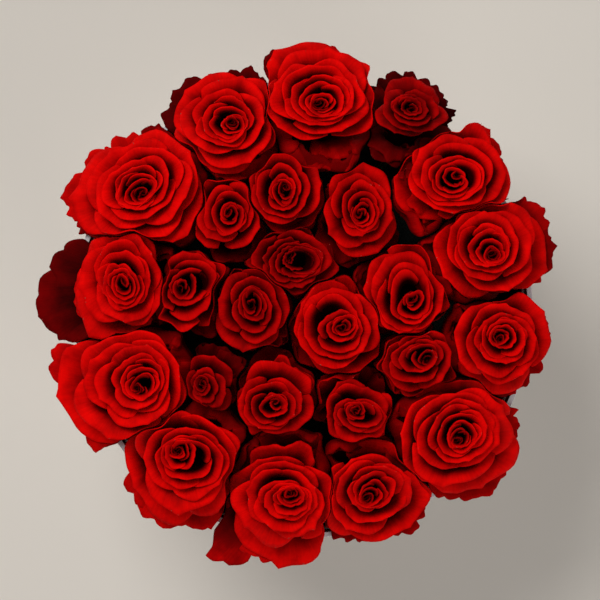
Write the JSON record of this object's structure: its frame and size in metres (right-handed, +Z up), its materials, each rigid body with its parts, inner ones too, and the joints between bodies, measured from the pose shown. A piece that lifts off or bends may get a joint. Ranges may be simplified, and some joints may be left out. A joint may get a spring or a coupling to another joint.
{
  "type": "flower box",
  "caption": "Round paper-covered flower box with a lift-out foam liner, filled with short-stemmed red roses that close over the rim in a low dome.",
  "frame": {"origin": "centre of the box's underside, on the table", "axes": "+Z up, out of the open top of the box; +Y towards the back of the arrangement, +X to its right"},
  "size_m": [0.2467, 0.2501, 0.1842],
  "materials": {
    "board": "rolled greyboard, edges hidden by paper",
    "cover_paper": "smooth matt white cover paper",
    "liner": "thin thermoformed translucent plastic",
    "foam": "open-cell floral foam, cut with a knife",
    "petals": "velvety red rose petals",
    "stems": "fresh green rose stems, hips and sepals"
  },
  "bodies": {
    "box": {"box_wall": "board", "box_base": "board", "cover_paper": "cover_paper", "base_paper": "cover_paper"},
    "insert": {"liner": "liner", "foam_left": "foam", "foam_right": "foam"},
    "rose_01": {"rose_01_petals": "petals", "rose_01_stem": "stems"},
    "rose_02": {"rose_02_petals": "petals", "rose_02_stem": "stems"},
    "rose_03": {"rose_03_petals": "petals", "rose_03_stem": "stems"},
    "rose_04": {"rose_04_petals": "petals", "rose_04_stem": "stems"},
    "rose_05": {"rose_05_petals": "petals", "rose_05_stem": "stems"},
    "rose_06": {"rose_06_petals": "petals", "rose_06_stem": "stems"},
    "rose_07": {"rose_07_petals": "petals", "rose_07_stem": "stems"},
    "rose_08": {"rose_08_petals": "petals", "rose_08_stem": "stems"},
    "rose_09": {"rose_09_petals": "petals", "rose_09_stem": "stems"},
    "rose_10": {"rose_10_petals": "petals", "rose_10_stem": "stems"},
    "rose_11": {"rose_11_petals": "petals", "rose_11_stem": "stems"},
    "rose_12": {"rose_12_petals": "petals", "rose_12_stem": "stems"},
    "rose_13": {"rose_13_petals": "petals", "rose_13_stem": "stems"},
    "rose_14": {"rose_14_petals": "petals", "rose_14_stem": "stems"},
    "rose_15": {"rose_15_petals": "petals", "rose_15_stem": "stems"},
    "rose_16": {"rose_16_petals": "petals", "rose_16_stem": "stems"},
    "rose_17": {"rose_17_petals": "petals", "rose_17_stem": "stems"},
    "rose_18": {"rose_18_petals": "petals", "rose_18_stem": "stems"},
    "rose_19": {"rose_19_petals": "petals", "rose_19_stem": "stems"},
    "rose_20": {"rose_20_petals": "petals", "rose_20_stem": "stems"},
    "rose_21": {"rose_21_petals": "petals", "rose_21_stem": "stems"},
    "rose_22": {"rose_22_petals": "petals", "rose_22_stem": "stems"},
    "rose_23": {"rose_23_petals": "petals", "rose_23_stem": "stems"},
    "rose_24": {"rose_24_petals": "petals", "rose_24_stem": "stems"},
    "rose_25": {"rose_25_petals": "petals", "rose_25_stem": "stems"}
  },
  "joints": [
    {"name": "insert_lift", "type": "slide", "parent": "box", "child": "insert", "axis": [0, 0, 1], "range_m": [0, 0.14]},
    {"name": "rose_01_pull", "type": "slide", "parent": "insert", "child": "rose_01", "axis": [0.0263, 0.3585, 0.9332], "range_m": [0, 0.055]},
    {"name": "rose_02_pull", "type": "slide", "parent": "insert", "child": "rose_02", "axis": [-0.1259, 0.3249, 0.9373], "range_m": [0, 0.055]},
    {"name": "rose_03_pull", "type": "slide", "parent": "insert", "child": "rose_03", "axis": [-0.2803, 0.2052, 0.9377], "range_m": [0, 0.055]},
    {"name": "rose_04_pull", "type": "slide", "parent": "insert", "child": "rose_04", "axis": [-0.3091, 0.0491, 0.9497], "range_m": [0, 0.055]},
    {"name": "rose_05_pull", "type": "slide", "parent": "insert", "child": "rose_05", "axis": [-0.2903, -0.1349, 0.9474], "range_m": [0, 0.055]},
    {"name": "rose_06_pull", "type": "slide", "parent": "insert", "child": "rose_06", "axis": [-0.2122, -0.251, 0.9445], "range_m": [0, 0.055]},
    {"name": "rose_07_pull", "type": "slide", "parent": "insert", "child": "rose_07", "axis": [-0.0286, -0.3246, 0.9454], "range_m": [0, 0.055]},
    {"name": "rose_08_pull", "type": "slide", "parent": "insert", "child": "rose_08", "axis": [0.1119, -0.3215, 0.9403], "range_m": [0, 0.055]},
    {"name": "rose_09_pull", "type": "slide", "parent": "insert", "child": "rose_09", "axis": [0.2642, -0.2235, 0.9382], "range_m": [0, 0.055]},
    {"name": "rose_10_pull", "type": "slide", "parent": "insert", "child": "rose_10", "axis": [0.3433, -0.0528, 0.9377], "range_m": [0, 0.055]},
    {"name": "rose_11_pull", "type": "slide", "parent": "insert", "child": "rose_11", "axis": [0.3237, 0.0997, 0.9409], "range_m": [0, 0.055]},
    {"name": "rose_12_pull", "type": "slide", "parent": "insert", "child": "rose_12", "axis": [0.2639, 0.2294, 0.9369], "range_m": [0, 0.055]},
    {"name": "rose_13_pull", "type": "slide", "parent": "insert", "child": "rose_13", "axis": [0.187, 0.3398, 0.9217], "range_m": [0, 0.055]},
    {"name": "rose_14_pull", "type": "slide", "parent": "insert", "child": "rose_14", "axis": [-0.0354, 0.2124, 0.9765], "range_m": [0, 0.055]},
    {"name": "rose_15_pull", "type": "slide", "parent": "insert", "child": "rose_15", "axis": [-0.1333, 0.1708, 0.9763], "range_m": [0, 0.055]},
    {"name": "rose_16_pull", "type": "slide", "parent": "insert", "child": "rose_16", "axis": [-0.2165, 0.0354, 0.9756], "range_m": [0, 0.055]},
    {"name": "rose_17_pull", "type": "slide", "parent": "insert", "child": "rose_17", "axis": [-0.1748, -0.1353, 0.9753], "range_m": [0, 0.055]},
    {"name": "rose_18_pull", "type": "slide", "parent": "insert", "child": "rose_18", "axis": [-0.0544, -0.1675, 0.9844], "range_m": [0, 0.055]},
    {"name": "rose_19_pull", "type": "slide", "parent": "insert", "child": "rose_19", "axis": [0.0897, -0.1836, 0.9789], "range_m": [0, 0.055]},
    {"name": "rose_20_pull", "type": "slide", "parent": "insert", "child": "rose_20", "axis": [0.214, -0.0893, 0.9727], "range_m": [0, 0.055]},
    {"name": "rose_21_pull", "type": "slide", "parent": "insert", "child": "rose_21", "axis": [0.1881, 0.0167, 0.982], "range_m": [0, 0.055]},
    {"name": "rose_22_pull", "type": "slide", "parent": "insert", "child": "rose_22", "axis": [0.1002, 0.1732, 0.9798], "range_m": [0, 0.055]},
    {"name": "rose_23_pull", "type": "slide", "parent": "insert", "child": "rose_23", "axis": [-0.0274, 0.0906, 0.9955], "range_m": [0, 0.055]},
    {"name": "rose_24_pull", "type": "slide", "parent": "insert", "child": "rose_24", "axis": [-0.0928, 0.0042, 0.9957], "range_m": [0, 0.055]},
    {"name": "rose_25_pull", "type": "slide", "parent": "insert", "child": "rose_25", "axis": [0.0654, -0.0359, 0.9972], "range_m": [0, 0.055]}
  ]
}
